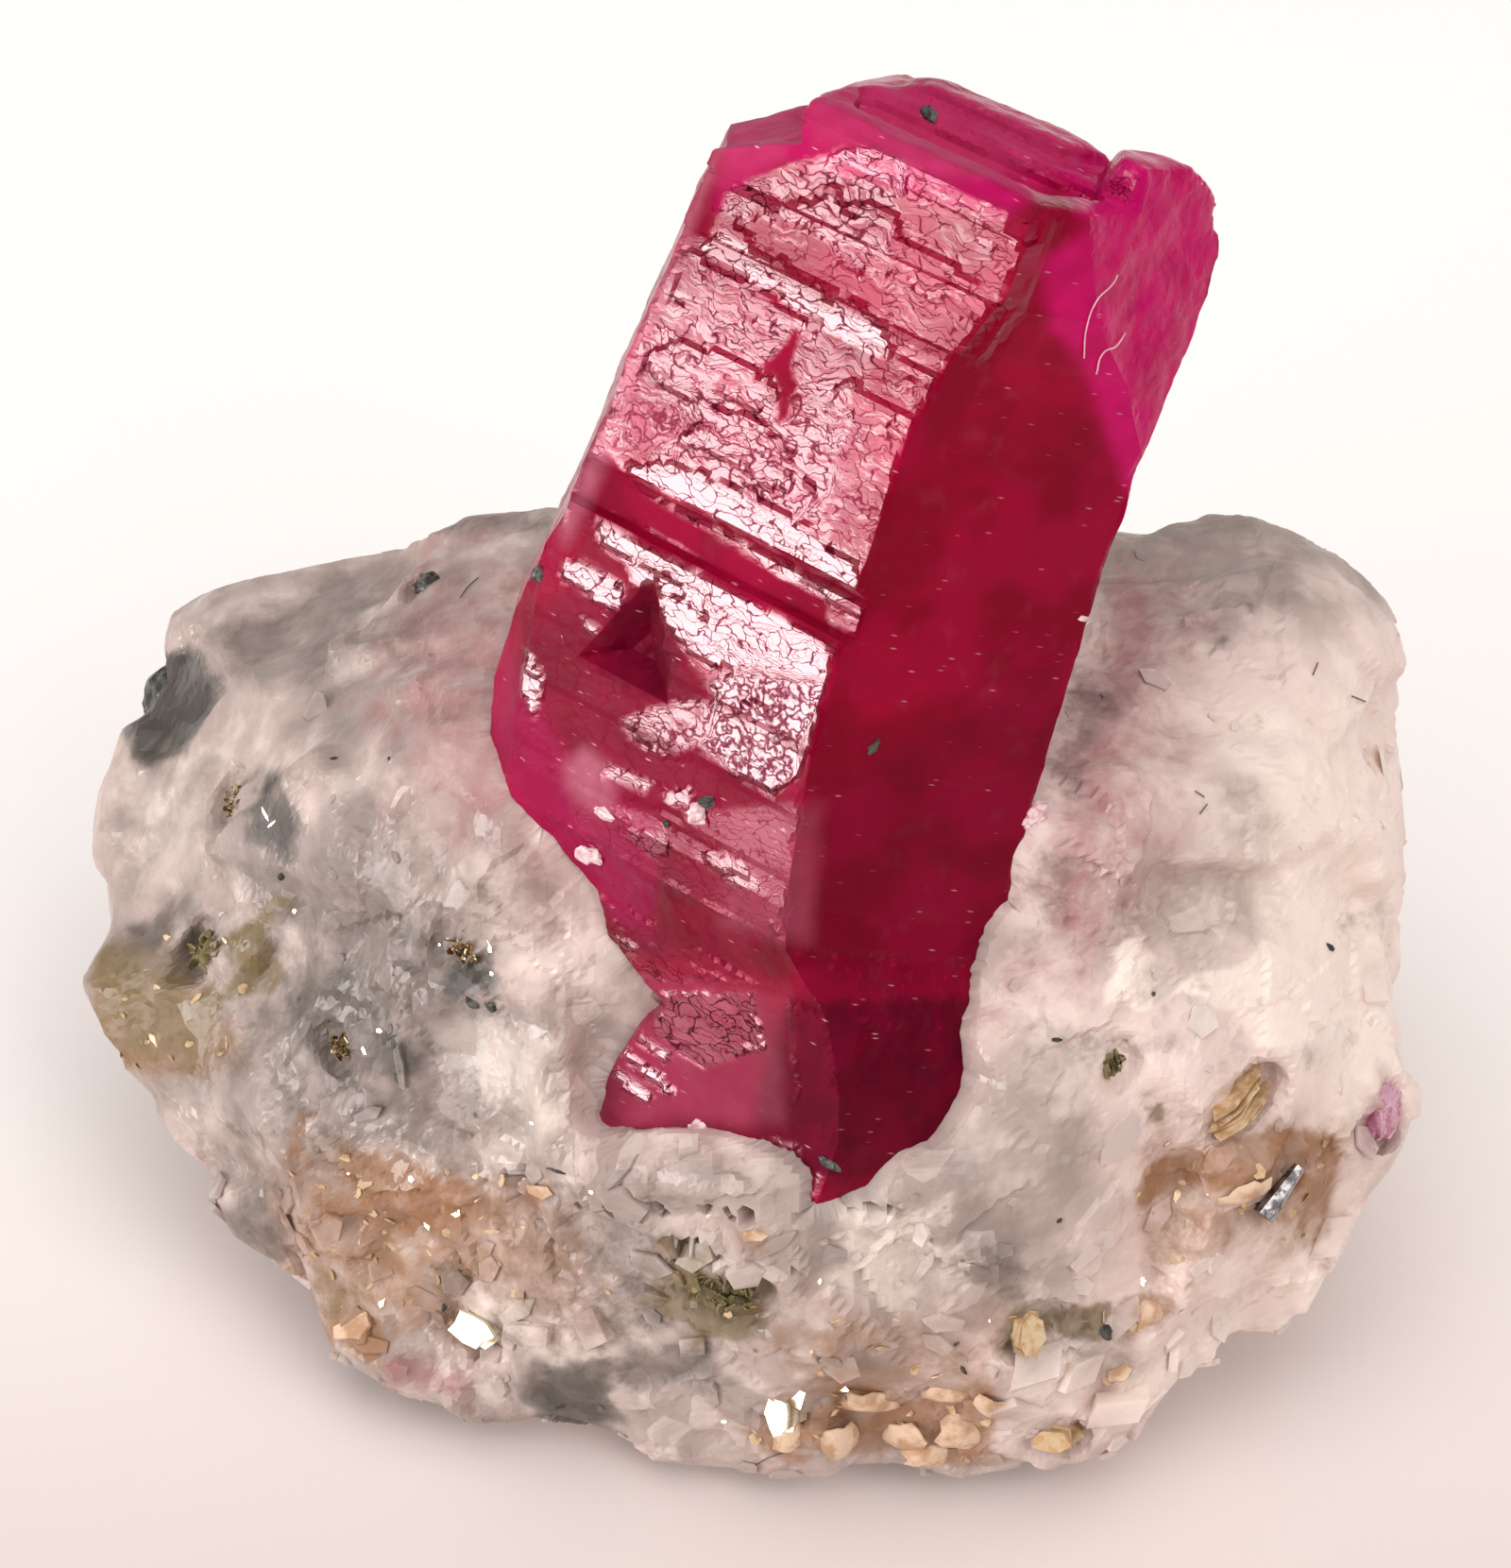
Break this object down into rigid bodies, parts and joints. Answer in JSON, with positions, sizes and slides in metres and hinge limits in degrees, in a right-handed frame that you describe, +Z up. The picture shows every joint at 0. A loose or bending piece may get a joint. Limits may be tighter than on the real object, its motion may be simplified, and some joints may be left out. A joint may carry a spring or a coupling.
{
  "type": "raw ruby crystal on marble matrix",
  "caption": "Leaning six-sided raw ruby prism with stepped growth and a broken head, grown in a loose, broken lump of white marble with small mica and pyrite grains.",
  "frame": {"origin": "middle of the specimen's bounding box seen from above, on the level it rests on", "axes": "+Z up, +Y from the broken front, where the ruby's foot shows, to the back, +X to the right seen from the front"},
  "size_m": [0.0365, 0.0249, 0.035],
  "materials": {
    "marble": "coarse broken calcite, white to grey and pinkish, translucent at the edges",
    "ruby": "clear to hazy deep red, faces glossy with etched plates and striations",
    "pale_ruby": "hazy pink-violet, waxy",
    "silver_sulphide": "bright silver-grey metallic crystal faces",
    "dark_sulphide": "dull dark grey to dark green grains",
    "pyrite": "brassy metallic flakes in dark pits",
    "mica": "golden, tan and olive stacks of thin shiny plates"
  },
  "bodies": {
    "root": {"marble_matrix": "marble", "ruby_crystal": "ruby", "side_ruby_crystal": "pale_ruby", "silver_metal_crystal": "silver_sulphide", "dark_corner_grain": "dark_sulphide", "dark_green_grain": "dark_sulphide", "pyrite_far_left": "pyrite", "pyrite_near_ruby": "pyrite", "pyrite_cube_cluster": "pyrite", "mica_front_left": "mica", "mica_front_low": "mica", "mica_stack_right": "mica", "mica_plate_low": "mica", "mica_foot": "mica", "mica_olive_front": "mica", "mica_olive_left": "mica", "mica_brown_right": "mica"}
  },
  "joints": []
}
